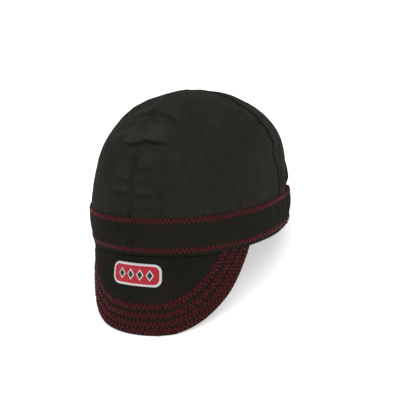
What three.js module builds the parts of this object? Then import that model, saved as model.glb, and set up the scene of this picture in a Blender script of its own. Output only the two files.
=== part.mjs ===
import * as THREE from 'three';

// A soft four-panel cap with a gathered band and a short hanging brim, lying as it rests by itself:
// on the brim's edge at the front and on the band's hem at the back. Lengths are in millimetres.
// The pieces are first laid out in the cap's upright frame: the band's lower edge is at height 0,
// the front is towards -Y, and angles round the head are counted from the front towards +X.

// Head opening. The girth is taken round the outside of the band's lower edge.
const headGirth = 595;
const lengthToWidth = 1.198;
const headSquareness = 2.15;

// Clearance between pieces of cloth that lie against each other.
const clearance = 0.3;

// Band.
const bandHeight = 32;
const bandWall = 1.3;
const bandLeanDeg = 2.1;
const bandBelly = 1;

// Gathers that an elastic draws into the back of the band, and into the crown cloth above it.
const gatherPairs = 9;
const gatherStartDeg = 106;
const gatherFadeDeg = 20;
const gatherDepth = 2.2;
const gatherReach = 26;
const gatherUnevenness = 0.22;
const gatherUnevenTurns = 1.3;

// Crown.
const crownHeight = 128;
const crownWall = 1.2;
const crownLeanDeg = 2;
const crownEase = 12;
const crownTopSquareness = 1.64;
const crownTopSetback = 10;
const sideSeamDeg = 94;
const tipReach = 1.2;

// How full the crown stands towards each side: with the distance from the middle and the height
// both taken as shares, reach to the power reachPower plus height to heightPower is 1.
const crownFullness = {
  front: { reachPower: 2.85, heightPower: 2.5 },
  side: { reachPower: 1.85, heightPower: 4 },
  back: { reachPower: 1.25, heightPower: 6 },
};

// Dents in the crown's cloth. All but the angles are shares of the crown's height.
const crownDents = [
  { angleDeg: -10, height: 0.7, length: 0.2, width: 0.035, depth: 0.014, tiltDeg: 2 },
  { angleDeg: 8, height: 0.715, length: 0.13, width: 0.045, depth: 0.01, tiltDeg: -14 },
  { angleDeg: 4, height: 0.88, length: 0.17, width: 0.05, depth: 0.012, tiltDeg: -20 },
  { angleDeg: 52, height: 0.6, length: 0.3, width: 0.12, depth: 0.01, tiltDeg: 62 },
  { angleDeg: -58, height: 0.55, length: 0.3, width: 0.11, depth: 0.011, tiltDeg: -58 },
  { angleDeg: 128, height: 0.5, length: 0.22, width: 0.07, depth: 0.014, tiltDeg: 34 },
  { angleDeg: -140, height: 0.56, length: 0.24, width: 0.07, depth: 0.014, tiltDeg: -30 },
  { angleDeg: 164, height: 0.66, length: 0.2, width: 0.06, depth: 0.012, tiltDeg: 12 },
];

// Brim, drawn as the flat cloth that it is cut from: across is measured round the band from the
// front, and down is measured along the hanging cloth.
const brimDepth = 69;
const brimHalfSpan = 103.5;
const brimCornerDepth = 1.5;
const brimSideFullness = 2.19;
const brimFrontFullness = 1.15;
const brimWall = 3;
const brimTuck = 4;
const brimFrontSlopeDeg = 80.5;
const brimSideSlopeDeg = 89.3;

// Emblem sewn to the brim.
const emblemWidth = 44;
const emblemHeight = 18;
const emblemCorner = 6;
const emblemWall = 1;
const emblemDrop = 16;

// How far the brim's edge and the band's hem are pressed flat where the cap rests on them.
const restFlattening = 2;

// Numbers of faces across and up each piece, and of the steps that measure and search its lines.
const frontPanelColumns = 18;
const backPanelColumns = 27;
const crownRows = 14;
const hiddenCrownRows = 2;
const bandFrontColumns = 40;
const bandBackColumns = 96;
const bandRows = 4;
const brimColumns = 34;
const brimRows = 8;
const emblemColumns = 14;
const emblemRows = 4;
const profileSteps = 360;
const profileCrowding = 3;
const tipHalvings = 45;

const radians = THREE.MathUtils.degToRad;
const { clamp, lerp, smoothstep } = THREE.MathUtils;
const ramp = (value) => smoothstep(value, 0, 1);
const steps = (count) => Array.from({ length: count + 1 }, (_, step) => step / count);
const around = (angle, reach, height) =>
  new THREE.Vector3(reach * Math.sin(angle), -reach * Math.cos(angle), height);

// Distance from the middle of an oval to its edge, at an angle from the front.
function ovalReach(angle, halfWidth, halfLength, squareness) {
  const across = Math.abs(Math.sin(angle)) / halfWidth;
  const along = Math.abs(Math.cos(angle)) / halfLength;
  return (across ** squareness + along ** squareness) ** (-1 / squareness);
}

// Lengths along an outline from the front to each step on the way to the back.
function lengthsRound(reachAt) {
  const points = steps(profileSteps).map((share) => around(Math.PI * share, reachAt(Math.PI * share), 0));
  let length = 0;
  return points.map((point, step) => (length += step ? point.distanceTo(points[step - 1]) : 0));
}

// Head oval, scaled to the girth.
const shapeOfHead = (angle) => ovalReach(angle, 1, lengthToWidth, headSquareness);
const headHalfWidth = headGirth / 2 / lengthsRound(shapeOfHead).at(-1);
const headHalfLength = headHalfWidth * lengthToWidth;

// Outside of the band, before its gathers.
function bandReach(angle, height) {
  const lean = height * Math.tan(radians(bandLeanDeg));
  const belly = bandBelly * Math.sin(Math.PI * clamp(height / bandHeight, 0, 1));
  return ovalReach(angle, headHalfWidth, headHalfLength, headSquareness) + lean + belly;
}

const underBand = (angle, height) => bandReach(angle, height) - bandWall - clearance;

// Gathers as a ripple from 0 to 1 that only stands outwards, uneven as elastic draws it.
function gatherAt(angle) {
  const fromBack = Math.PI - Math.abs(angle);
  const span = Math.PI - radians(gatherStartDeg);
  const uneven = gatherUnevenness * Math.sin((2 * Math.PI * gatherUnevenTurns * fromBack) / span);
  const turns = (gatherPairs * fromBack) / span + uneven;
  const ripple = 0.5 + 0.5 * Math.cos(2 * Math.PI * turns);
  return ripple * ramp((span - fromBack) / radians(gatherFadeDeg));
}

// Reach of the crown towards one side at a share of its height.
function fullness(side, share) {
  return (1 - share ** side.heightPower) ** (1 / side.reachPower);
}

// Outside of the crown without its dents: flat under the band, then easing out to its full shape.
function crownReach(angle, height) {
  if (height <= bandHeight) return underBand(angle, height);
  const share = Math.min(height / crownHeight, 1);
  const lean = height * Math.tan(radians(crownLeanDeg));
  const lengthwise = Math.cos(angle) > 0 ? crownFullness.front : crownFullness.back;
  const halfWidth = (headHalfWidth + lean) * fullness(crownFullness.side, share);
  const halfLength = (headHalfLength + lean) * fullness(lengthwise, share);
  const squareness = lerp(headSquareness, crownTopSquareness, share ** 2);
  const full = ovalReach(angle, halfWidth, halfLength, squareness);
  const eased = ramp((height - bandHeight) / crownEase);
  const gathered = gatherDepth * gatherAt(angle) * Math.exp(-(((height - bandHeight) / gatherReach) ** 2));
  return lerp(underBand(angle, height), full + gathered, eased);
}

// Depth of the dents at a place on the crown.
function dentDepth(angle, height, reach) {
  return crownDents.reduce((total, dent) => {
    const across = reach * (angle - radians(dent.angleDeg));
    const up = height - dent.height * crownHeight;
    const tilt = radians(dent.tiltDeg);
    const along = (across * Math.cos(tilt) + up * Math.sin(tilt)) / (dent.length * crownHeight);
    const beside = (up * Math.cos(tilt) - across * Math.sin(tilt)) / (dent.width * crownHeight);
    return total + dent.depth * crownHeight * Math.exp(-(along ** 2) - beside ** 2);
  }, 0);
}

function crownPoint(angle, height) {
  const reach = crownReach(angle, height);
  const setback = (crownTopSetback * Math.max(height - bandHeight, 0)) / (crownHeight - bandHeight);
  const point = around(angle, reach, height).add(new THREE.Vector3(0, setback, 0));
  const inward = new THREE.Vector3(0, setback, crownHeight / 2).sub(point).normalize();
  const dented = dentDepth(angle, height, reach) * ramp((height - bandHeight) / crownEase);
  return point.addScaledVector(inward, dented);
}

// Height at which the crown has drawn in to the small opening that the panels' cut tips leave.
function tipHeight(angle) {
  let [low, high] = [bandHeight, crownHeight];
  for (let halving = 0; halving < tipHalvings; halving++) {
    const middleHeight = (low + high) / 2;
    if (crownReach(angle, middleHeight) > tipReach) low = middleHeight;
    else high = middleHeight;
  }
  return low;
}

// Heights of the crown's rows at one angle, spaced evenly along the cloth.
function crownHeights(angle) {
  const top = tipHeight(angle);
  const profile = steps(profileSteps).map((share) => {
    const height = lerp(top, bandHeight, (1 - share) ** profileCrowding);
    return new THREE.Vector2(crownReach(angle, height), height);
  });
  let length = 0;
  const lengths = profile.map((point, at) => (length += at ? point.distanceTo(profile[at - 1]) : 0));
  const visible = steps(crownRows).map((share) => {
    const at = clamp(lengths.findIndex((reached) => reached >= share * length), 1, profile.length - 1);
    const between = (share * length - lengths[at - 1]) / (lengths[at] - lengths[at - 1]);
    return lerp(profile[at - 1].y, profile[at].y, between);
  });
  const hem = brimTuck + clearance;
  const hidden = steps(hiddenCrownRows).map((share) => lerp(hem, bandHeight, share));
  return [...hidden.slice(0, -1), ...visible];
}

// A closed wall between an outer and an inner grid of points. Rows run upwards and columns run
// from the front towards +X. A ring's last column meets its first.
function wall(outer, inner, isRing = false) {
  const rows = outer.length;
  const columns = outer[0].length;
  const faces = [];
  const at = (side, row, column) => (side * rows + row) * columns + (column % columns);
  const quad = (a, b, c, d) => faces.push(a, b, c, a, c, d);
  for (let column = 0; column < (isRing ? columns : columns - 1); column++) {
    const next = column + 1;
    for (let row = 0; row < rows - 1; row++) {
      quad(at(0, row, column), at(0, row, next), at(0, row + 1, next), at(0, row + 1, column));
      quad(at(1, row, column), at(1, row + 1, column), at(1, row + 1, next), at(1, row, next));
    }
    quad(at(0, 0, column), at(1, 0, column), at(1, 0, next), at(0, 0, next));
    quad(at(0, rows - 1, column), at(0, rows - 1, next), at(1, rows - 1, next), at(1, rows - 1, column));
  }
  for (let row = 0; row < rows - 1 && !isRing; row++) {
    const last = columns - 1;
    quad(at(0, row, 0), at(0, row + 1, 0), at(1, row + 1, 0), at(1, row, 0));
    quad(at(0, row, last), at(1, row, last), at(1, row + 1, last), at(0, row + 1, last));
  }
  const points = [...outer.flat(), ...inner.flat()].map(layDown);
  const geometry = new THREE.BufferGeometry().setFromPoints(points);
  geometry.setIndex(faces);
  geometry.computeVertexNormals();
  return geometry;
}

// A crown panel between two seams, cut back from each by half the clearance. Its inner side lies one
// wall in, straight across the cloth's rise, so that it stays between the seams too.
function crownPanel(start, end, columns) {
  const heights = steps(columns).map((share) => crownHeights(lerp(start, end, share)));
  const places = heights[0].map((_, row) => steps(columns).map((share, column) => {
    const height = heights[column][row];
    const cut = Math.asin(clearance / 2 / crownReach(lerp(start, end, share), height));
    return { angle: lerp(start + cut, end - cut, share), height };
  }));
  const outer = places.map((row) => row.map(({ angle, height }) => crownPoint(angle, height)));
  const inner = places.map((row, r) => row.map(({ angle }, c) => {
    const above = outer[Math.min(r + 1, outer.length - 1)][c];
    const rise = above.clone().sub(outer[Math.max(r - 1, 0)][c]);
    const out = around(angle, 1, 0);
    const inward = new THREE.Vector3(0, 0, rise.dot(out)).addScaledVector(out, -rise.z);
    return outer[r][c].clone().addScaledVector(inward.normalize(), crownWall);
  }));
  return wall(outer, inner);
}

function headBand() {
  const fade = radians(gatherStartDeg);
  const front = steps(bandFrontColumns).map((share) => lerp(-fade, fade, share));
  const back = steps(bandBackColumns).map((share) => lerp(fade, 2 * Math.PI - fade, share));
  const fromFront = (angle) => (angle > Math.PI ? angle - 2 * Math.PI : angle);
  const angles = [...front, ...back.slice(1, -1)].map(fromFront);
  const side = (depth) => steps(bandRows).map((share) => angles.map((angle) => {
    const height = bandHeight * share;
    return around(angle, bandReach(angle, height) + gatherDepth * gatherAt(angle) - depth, height);
  }));
  return wall(side(0), side(bandWall), true);
}

// Brim's root line, just inside the band's lower edge, and its direction straight outwards.
const rootReach = (angle) => underBand(angle, 0);
const rootLengths = lengthsRound(rootReach);

function rootAngle(across) {
  const length = Math.min(Math.abs(across), rootLengths.at(-1));
  const at = Math.max(rootLengths.findIndex((reached) => reached >= length), 1);
  const between = (length - rootLengths[at - 1]) / (rootLengths[at] - rootLengths[at - 1]);
  return (Math.sign(across) * Math.PI * (at - 1 + between)) / profileSteps;
}

function outwards(angle) {
  const step = Math.PI / profileSteps;
  const before = around(angle - step, rootReach(angle - step), 0);
  const along = around(angle + step, rootReach(angle + step), 0).sub(before).normalize();
  return new THREE.Vector3(along.y, -along.x, 0);
}

// A point of the brim: across and down on the flat cloth, and a depth in from its outer face.
function brimPoint(across, down, depth) {
  const angle = rootAngle(across);
  const side = Math.min(Math.abs(across) / brimHalfSpan, 1) ** 2;
  const slope = radians(down < 0 ? 90 : lerp(brimFrontSlopeDeg, brimSideSlopeDeg, side));
  const out = outwards(angle);
  return around(angle, rootReach(angle), 0)
    .addScaledVector(out, down * Math.cos(slope) - depth * Math.sin(slope))
    .add(new THREE.Vector3(0, 0, -down * Math.sin(slope) - depth * Math.cos(slope)));
}

function brim() {
  const outline = steps(brimColumns).map((share) => {
    const turn = lerp(-Math.PI / 2, Math.PI / 2, share);
    return {
      across: brimHalfSpan * Math.sign(turn) * Math.abs(Math.sin(turn)) ** (2 / brimSideFullness),
      depth: lerp(brimCornerDepth, brimDepth, Math.max(Math.cos(turn), 0) ** (2 / brimFrontFullness)),
    };
  });
  const downs = ({ depth }) => [...steps(brimRows).map((share) => depth * (1 - share)), -brimTuck];
  const side = (inside) => downs(outline[0]).map((_, row) =>
    outline.map((column) => brimPoint(column.across, downs(column)[row], inside)));
  return wall(side(0), side(brimWall));
}

function brimEmblem() {
  const straight = emblemWidth / 2 - emblemCorner;
  const halfHeight = (across) => {
    const past = Math.max(Math.abs(across) - straight, 0);
    return emblemHeight / 2 - emblemCorner + Math.sqrt(Math.max(emblemCorner ** 2 - past ** 2, 0));
  };
  const side = (depth) => steps(emblemRows).map((up) => steps(emblemColumns).map((share) => {
    const across = (emblemWidth / 2) * Math.sin(Math.PI * (share - 0.5));
    return brimPoint(across, emblemDrop + halfHeight(across) * (1 - 2 * up), depth);
  }));
  return wall(side(-clearance - emblemWall), side(-clearance));
}

// The cap leans back until its hem and the brim's edge rest on the same surface, pressed a little flat.
const brimRest = brimPoint(0, brimDepth, brimWall);
const hemRest = around(Math.PI, bandReach(Math.PI, 0), 0);
const leanBack = Math.atan2(hemRest.z - brimRest.z, hemRest.y - brimRest.y);
const leanAxis = new THREE.Vector3(-1, 0, 0);
const upright = new THREE.Vector3(0, 0, 1).applyAxisAngle(leanAxis, leanBack);
const restHeight = hemRest.clone().applyAxisAngle(leanAxis, leanBack).z + restFlattening;

function layDown(point) {
  const laid = point.clone().applyAxisAngle(leanAxis, leanBack);
  laid.z -= restHeight;
  return laid.z > 0 ? laid : laid.addScaledVector(upright, -laid.z / upright.z).setZ(0);
}

const crownCloth = new THREE.MeshStandardMaterial({ color: '#272622', roughness: 0.88, metalness: 0 });
const bandCloth = new THREE.MeshStandardMaterial({ color: '#24231f', roughness: 0.9, metalness: 0 });
const brimCloth = new THREE.MeshStandardMaterial({ color: '#2a2723', roughness: 0.9, metalness: 0 });
const emblemThread = new THREE.MeshStandardMaterial({ color: '#b8202e', roughness: 0.6, metalness: 0 });

const cap = new THREE.Group();

function addPiece(name, geometry, material) {
  const mesh = new THREE.Mesh(geometry, material);
  mesh.name = name;
  cap.add(mesh);
}

const sideSeam = radians(sideSeamDeg);
addPiece('crown_panel_front_left', crownPanel(0, sideSeam, frontPanelColumns), crownCloth);
addPiece('crown_panel_front_right', crownPanel(-sideSeam, 0, frontPanelColumns), crownCloth);
addPiece('crown_panel_back_left', crownPanel(sideSeam, Math.PI, backPanelColumns), crownCloth);
addPiece('crown_panel_back_right', crownPanel(-Math.PI, -sideSeam, backPanelColumns), crownCloth);
addPiece('head_band', headBand(), bandCloth);
addPiece('brim', brim(), brimCloth);
addPiece('brim_emblem', brimEmblem(), emblemThread);

// The origin is under the middle of the cap, on the surface that it rests on.
const middle = new THREE.Box3().setFromObject(cap).getCenter(new THREE.Vector3());
cap.position.set(-middle.x, -middle.y, 0);

export default cap;
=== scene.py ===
import math

import bpy
import numpy as np
from mathutils import Matrix, Vector


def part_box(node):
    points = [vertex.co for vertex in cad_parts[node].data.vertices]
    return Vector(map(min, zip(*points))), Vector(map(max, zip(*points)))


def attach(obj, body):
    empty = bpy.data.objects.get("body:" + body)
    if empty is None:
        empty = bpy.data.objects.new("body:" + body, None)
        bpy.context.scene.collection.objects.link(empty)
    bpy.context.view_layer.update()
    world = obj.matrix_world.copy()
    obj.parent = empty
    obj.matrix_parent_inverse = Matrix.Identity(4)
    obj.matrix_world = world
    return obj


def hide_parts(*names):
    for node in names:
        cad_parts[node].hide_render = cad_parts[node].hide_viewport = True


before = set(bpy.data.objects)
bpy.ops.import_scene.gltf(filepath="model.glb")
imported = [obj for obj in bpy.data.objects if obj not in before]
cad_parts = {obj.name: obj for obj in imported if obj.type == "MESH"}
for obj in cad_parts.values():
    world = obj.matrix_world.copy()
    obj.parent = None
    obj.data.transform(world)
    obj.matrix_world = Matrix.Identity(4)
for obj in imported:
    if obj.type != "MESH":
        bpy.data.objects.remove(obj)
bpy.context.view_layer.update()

mm = 0.001

# The cap is laid out upright and in millimetres: the band's hem is at height 0, the front is
# towards -Y, and angles round the head are counted from the front towards +X.
headSettings = {
    "girth": 595,
    "lengthToWidth": 1.198,
    "squareness": 2.15,
    "clearance": 0.3,
    "restFlattening": 2,
    "profileSteps": 720,
}


def ramp(value):
    value = np.clip(value, 0, 1)
    return value * value * (3 - 2 * value)


def mix(start, end, share):
    return start + (end - start) * share


def hill(distance, width):
    return np.exp(-(distance / width) ** 2)


# An amount that fades with the distance from a line: both numbers are in a piece's settings
def fading(settings, name, distance):
    return settings[name] * hill(distance, settings[name + "Spread"])


def unit(vectors):
    return vectors / np.maximum(np.linalg.norm(vectors, axis=-1, keepdims=True), 1e-9)


def around(angle, reach, height):
    angle, reach, height = np.broadcast_arrays(angle, reach, height)
    return np.stack([reach * np.sin(angle), -reach * np.cos(angle), height], axis=-1)


# Smooth unevenness over one or more coordinates, mostly between -1 and 1
def waver(seed, wavelength, *places, waves=14):
    draw = np.random.default_rng(seed)
    total = 0
    for wave in range(waves):
        direction = draw.normal(size=len(places))
        direction *= 2 * math.pi / (wavelength * draw.uniform(0.6, 1.7) * np.linalg.norm(direction))
        phase = draw.uniform(0, 2 * math.pi)
        total = total + np.sin(sum(place * turn for place, turn in zip(places, direction)) + phase)
    return total / math.sqrt(waves)


# An amount of unevenness and its wavelength: both numbers are in a piece's settings
def wavering(settings, name, seed, *places):
    return settings[name] * waver(seed, settings[name + "Length"], *places)


def ovalReach(angle, halfWidth, halfLength, squareness):
    across = np.abs(np.sin(angle)) / np.maximum(halfWidth, 1e-6)
    along = np.abs(np.cos(angle)) / np.maximum(halfLength, 1e-6)
    return (across ** squareness + along ** squareness) ** (-1 / squareness)


# Lengths along a line of points, from the first
def lengthsAlong(points):
    return np.concatenate([[0], np.cumsum(np.linalg.norm(np.diff(points, axis=0), axis=1))])


# Lengths along an outline from the front round to the back
def lengthsRound(reachAt):
    angles = np.linspace(0, math.pi, headSettings["profileSteps"] + 1)
    return angles, lengthsAlong(around(angles, reachAt(angles), 0))


def shapeOfHead(angle):
    return ovalReach(angle, 1, headSettings["lengthToWidth"], headSettings["squareness"])


halfWidth = headSettings["girth"] / 2 / lengthsRound(shapeOfHead)[1][-1]
halfLength = halfWidth * headSettings["lengthToWidth"]

bandSettings = {
    "height": 32,
    "wall": 1.3,
    "leanDeg": 2.1,
    "belly": 1,
    "gatherPairs": 9,
    "gatherStartDeg": 106,
    "gatherFadeDeg": 20,
    "gatherDepth": 2.2,
    "gatherReach": 26,
    "gatherUnevenness": 0.22,
    "gatherUnevenTurns": 1.3,
    "pleats": 0.5,
    "pleatsLength": 5,
    "pleatStretch": 0.18,
    "pleatStartDeg": 72,
    "pleatFadeDeg": 40,
    "stitchRows": (5.2, 30),
    "topDraw": 0.7,
    "topDrawSpread": 2.4,
    "stitchSink": 0.35,
    "stitchSinkSpread": 1.5,
    "seamRidge": 0.3,
    "seamRidgeSpread": 2.2,
    "joinDeg": -1.4,
    "joinDepth": 0.45,
    "joinWidth": 0.6,
    "unevenness": 0.35,
    "unevennessLength": 38,
    "hemSpare": 0.6,
    "stitchWear": 0.3,
    "stitchWearSpread": 2.2,
    "topWear": 0.3,
    "topWearSpread": 1.2,
    # Painted shade: how much the colour is darkened in the groove of the seam that joins the band's ends
    "joinShade": 0.5,
    "columns": 760,
    "outerRows": 34,
    "innerRows": 12,
    "rollSteps": 5,
}


def bandReach(angle, height):
    lean = height * math.tan(math.radians(bandSettings["leanDeg"]))
    belly = bandSettings["belly"] * np.sin(math.pi * np.clip(height / bandSettings["height"], 0, 1))
    return ovalReach(angle, halfWidth, halfLength, headSettings["squareness"]) + lean + belly


def underBand(angle, height):
    return bandReach(angle, height) - bandSettings["wall"] - headSettings["clearance"]


# How far a place is into the part of the band that the elastic draws in, from 0 to 1
def gatherZone(angle):
    span = math.pi - math.radians(bandSettings["gatherStartDeg"])
    fromBack = math.pi - np.abs(angle)
    return ramp((span - fromBack) / math.radians(bandSettings["gatherFadeDeg"]))


def gatherAt(angle):
    span = math.pi - math.radians(bandSettings["gatherStartDeg"])
    fromBack = (math.pi - np.abs(angle)) / span
    uneven = np.sin(2 * math.pi * bandSettings["gatherUnevenTurns"] * fromBack)
    turns = bandSettings["gatherPairs"] * fromBack + bandSettings["gatherUnevenness"] * uneven
    return (0.5 + 0.5 * np.cos(2 * math.pi * turns)) * gatherZone(angle)


crownSettings = {
    "height": 128,
    "wall": 1.2,
    "leanDeg": 2,
    "ease": 12,
    "topSquareness": 1.64,
    "topSetback": 10,
    "fullness": {"front": (2.85, 2.5), "side": (1.85, 4), "back": (1.25, 6)},
    "seamsDeg": (-2.6, 94, 180, -94),
    "seamGap": 0.02,
    "seamLap": 0.5,
    "widestLap": 0.5,
    "tipReach": 0.04,
    "tipFade": 12,
    "allowance": 3.4,
    "allowanceEdge": 1.2,
    "allowanceRise": 0.06,
    "insideAllowance": 8,
    "insideAllowanceEdge": 1.5,
    "insideAllowanceWall": 0.7,
    "insideTipFade": 20,
    "seamDepth": {"front": 0.45, "side": 1.5},
    "seamWidth": {"front": 0.6, "side": 1.1},
    # Painted shade that darkens the cloth's colour in the seams' grooves, beside the topstitches and in the
    # creases, and a painted highlight that lightens the ridges of the folds
    "seamShade": {"front": 0.3, "side": 1},
    "seamTipFade": 10,
    "topstitchShade": {"front": 0.22, "side": 0.4},
    "topstitchShadeWidth": 0.45,
    "creaseShade": 0.36,
    "ridgeHighlight": 0.5,
    "sideStep": -0.4,
    "sideStepReach": 5,
    "sideSway": [(32, 1), (52, 0.5), (68, -3.4), (83, 0.4), (96, -3), (111, -5), (121, -1), (128, 0)],
    "swaySpreadDeg": 20,
    "topstitchInset": 2.6,
    "topstitchDip": 0.12,
    "topstitchDipSpread": 0.5,
    "pucker": 0.5,
    "puckerLength": 8,
    "puckerSpread": 14,
    "puckerShift": 40,
    "unevenness": 0.9,
    "unevennessLength": 42,
    "fineUnevenness": 0.12,
    "fineUnevennessLength": 13,
    "backPleats": 0.7,
    "backPleatsLength": 7,
    "backPleatStretch": 0.16,
    "backPleatStart": 8,
    "backPleatTop": 60,
    "backPleatFade": 45,
    "foldFade": 0.3,
    "columns": 120,
    "columnCrowding": 0.8,
    "rows": 168,
    "hiddenRows": 5,
    "halvings": 40,
    "heightCrowding": 3,
}

# Soft dents: all but the angles are shares of the crown's height
crownDents = [
    {"angleDeg": 4, "height": 0.88, "length": 0.17, "width": 0.05, "depth": 0.012, "tiltDeg": -20},
    {"angleDeg": 52, "height": 0.6, "length": 0.3, "width": 0.12, "depth": 0.01, "tiltDeg": 62},
    {"angleDeg": -58, "height": 0.55, "length": 0.3, "width": 0.11, "depth": 0.011, "tiltDeg": -58},
    {"angleDeg": 128, "height": 0.5, "length": 0.22, "width": 0.07, "depth": 0.014, "tiltDeg": 34},
    {"angleDeg": -140, "height": 0.56, "length": 0.24, "width": 0.07, "depth": 0.014, "tiltDeg": -30},
    {"angleDeg": 164, "height": 0.66, "length": 0.2, "width": 0.06, "depth": 0.012, "tiltDeg": 12},
]

# Sharp folds: a path of (angle in degrees, height), the crease's depth and width, and the roll of
# cloth that stands over it with the distance to its top
crownFolds = [
    {"path": [(-17, 89.4), (-10.7, 89.2), (-4.7, 89.8), (1.4, 92.3), (6, 91.3), (12.7, 89.8), (18, 89.6)],
     "depth": 2.3, "width": 1.15, "roll": 1.9, "rollReach": 6},
    {"path": [(-18, 109.4), (-9.3, 111.2), (-3, 112.9), (1.7, 112.8), (9.3, 111), (14, 109), (26, 103)],
     "depth": 1.6, "width": 1.6, "roll": 0.9, "rollReach": 5},
    {"path": [(-3, 109), (1, 108), (4.7, 107.2), (8.3, 106), (14, 104)],
     "depth": 0.8, "width": 1.6, "roll": 0.4, "rollReach": 4},
    {"path": [(-34, 89), (-25.7, 93.8), (-18, 96.6), (-12.3, 98.2), (-2, 101.2), (6.7, 102), (13, 100.8),
              (20, 98)],
     "depth": -1.5, "width": 2.2, "roll": 0, "rollReach": 4},
    {"path": [(-36, 98), (-24.7, 102), (-14, 104), (-5, 105.8), (2, 106)],
     "depth": 1.1, "width": 2.4, "roll": 0, "rollReach": 4},
    {"path": [(-42, 100), (-32, 106), (-24, 111.4), (-12.3, 114.8), (-2.3, 117.4), (8, 119)],
     "depth": -1.0, "width": 2.4, "roll": 0, "rollReach": 4},
    {"path": [(-8.5, 80.5), (-3, 79.2), (1, 80)], "depth": 0.9, "width": 1.7, "roll": 0.45, "rollReach": 4},
    {"path": [(-2, 69.4), (3.5, 70.8), (10, 70.2)], "depth": 1.1, "width": 1.7, "roll": 0.5, "rollReach": 4},
    {"path": [(-14, 63), (-6, 61.4), (-2, 60.4)], "depth": 1.2, "width": 1.9, "roll": 0.6, "rollReach": 4.5},
    {"path": [(-3, 58.6), (3, 59.6), (8, 59)], "depth": 1.0, "width": 1.6, "roll": 0.45, "rollReach": 4},
    {"path": [(-15, 50), (-7, 50.6), (-2, 49.4)], "depth": 1.1, "width": 1.9, "roll": 0.6, "rollReach": 4.5},
    {"path": [(-3, 48.6), (4, 49.6), (11, 49)], "depth": 1.0, "width": 1.8, "roll": 0.5, "rollReach": 4},
    {"path": [(-3, 37.6), (5, 38.2), (15, 38)], "depth": 1.0, "width": 1.9, "roll": 0.4, "rollReach": 4},
    {"path": [(80, 96), (88, 99), (97, 98)], "depth": 1.1, "width": 2.2, "roll": 0.6, "rollReach": 6},
    {"path": [(92, 76), (99, 74), (108, 76)], "depth": 0.8, "width": 2, "roll": 0.5, "rollReach": 5},
    {"path": [(-104, 92), (-96, 95), (-86, 94)], "depth": 1, "width": 2.2, "roll": 0.5, "rollReach": 6},
    {"path": [(168, 96), (176, 98), (188, 95)], "depth": 1.2, "width": 2.2, "roll": 0.7, "rollReach": 6},
]


def crownReach(angle, height):
    bandHeight = bandSettings["height"]
    share = np.clip(height / crownSettings["height"], 0, 1)
    lean = height * math.tan(math.radians(crownSettings["leanDeg"]))
    full = {side: (1 - share ** risePower) ** (1 / reachPower)
            for side, (reachPower, risePower) in crownSettings["fullness"].items()}
    lengthwise = np.where(np.cos(angle) > 0, full["front"], full["back"])
    squareness = mix(headSettings["squareness"], crownSettings["topSquareness"], share ** 2)
    shape = ovalReach(angle, (halfWidth + lean) * full["side"], (halfLength + lean) * lengthwise, squareness)
    over = (height - bandHeight) / bandSettings["gatherReach"]
    gathered = bandSettings["gatherDepth"] * gatherAt(angle) * np.exp(-over ** 2)
    eased = ramp((height - bandHeight) / crownSettings["ease"])
    return mix(underBand(angle, height), shape + gathered, eased)


def dentDepth(angle, height, reach):
    total = 0
    size = crownSettings["height"]
    for dent in crownDents:
        across = reach * (angle - math.radians(dent["angleDeg"]))
        up = height - dent["height"] * size
        tilt = math.radians(dent["tiltDeg"])
        along = (across * math.cos(tilt) + up * math.sin(tilt)) / (dent["length"] * size)
        beside = (up * math.cos(tilt) - across * math.sin(tilt)) / (dent["width"] * size)
        total = total + dent["depth"] * size * np.exp(-along ** 2 - beside ** 2)
    return total


# Height of the folds, and how much a place is in a crease or on a ridge: creases go in, and the
# rolls of cloth above them stand out
def foldRise(angle, height):
    total, crease, ridge = 0, 0, 0
    for fold in crownFolds:
        places = np.radians([place for place, up in fold["path"]])
        turned = np.where(angle < places[0] - math.pi, angle + 2 * math.pi, angle)
        above = height - np.interp(turned, places, [up for place, up in fold["path"]])
        share = (turned - places[0]) / (places[-1] - places[0])
        fade = ramp(share / crownSettings["foldFade"]) * ramp((1 - share) / crownSettings["foldFade"])
        roll = np.maximum(above, 0) / fold["rollReach"]
        inCrease = fold["depth"] * fade * hill(above, fold["width"])
        onRoll = fold["roll"] * fade * roll * np.exp(1 - roll)
        total = total + onRoll - inCrease
        crease = np.maximum(crease, inCrease / crownFolds[0]["depth"])
        ridge = np.maximum(ridge, (onRoll - inCrease) / crownFolds[0]["depth"])
    return total, crease, ridge


# Distance from a place to the nearest of some seams: the crown's, where none are given
def seamDistance(angle, reach, seamsDeg=crownSettings["seamsDeg"]):
    seams = np.radians(seamsDeg)
    turns = np.stack([np.abs((angle - seam + math.pi) % (2 * math.pi) - math.pi) for seam in seams])
    return reach * turns.min(axis=0)


# A setting of the seam nearest to a place: the side seams differ from those at the front and back
def seamSetting(name, angle):
    setting = crownSettings[name]
    return np.where(np.abs(np.sin(angle)) > math.sqrt(0.5), setting["side"], setting["front"])


# How far a place is into a seam's groove, from 0 to 1
def inSeam(angle, distance):
    return hill(distance, seamSetting("seamWidth", angle))


def seamRelief(angle, distance, reach):
    past = ramp((distance - crownSettings["allowance"]) / crownSettings["allowanceEdge"])
    raised = crownSettings["allowanceRise"] * (1 - past)
    seam = seamSetting("seamDepth", angle) * inSeam(angle, distance)
    topstitch = fading(crownSettings, "topstitchDip", distance - crownSettings["topstitchInset"])
    return (raised - seam - topstitch) * ramp(reach / crownSettings["seamTipFade"])


# The side seams sway a little as they climb: the angle at which a place really lies
def swayed(angle, height):
    heights, sways = (np.array(column) for column in zip(*crownSettings["sideSway"]))
    above = np.clip(np.searchsorted(heights, height), 1, len(heights) - 1)
    share = ramp((height - heights[above - 1]) / (heights[above] - heights[above - 1]))
    sway = np.radians(mix(sways[above - 1], sways[above], share))
    sideDeg = crownSettings["seamsDeg"][1]
    nearSide = hill(np.degrees(np.abs(angle)) - sideDeg, crownSettings["swaySpreadDeg"])
    return angle + np.sign(angle) * sway * nearSide


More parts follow.
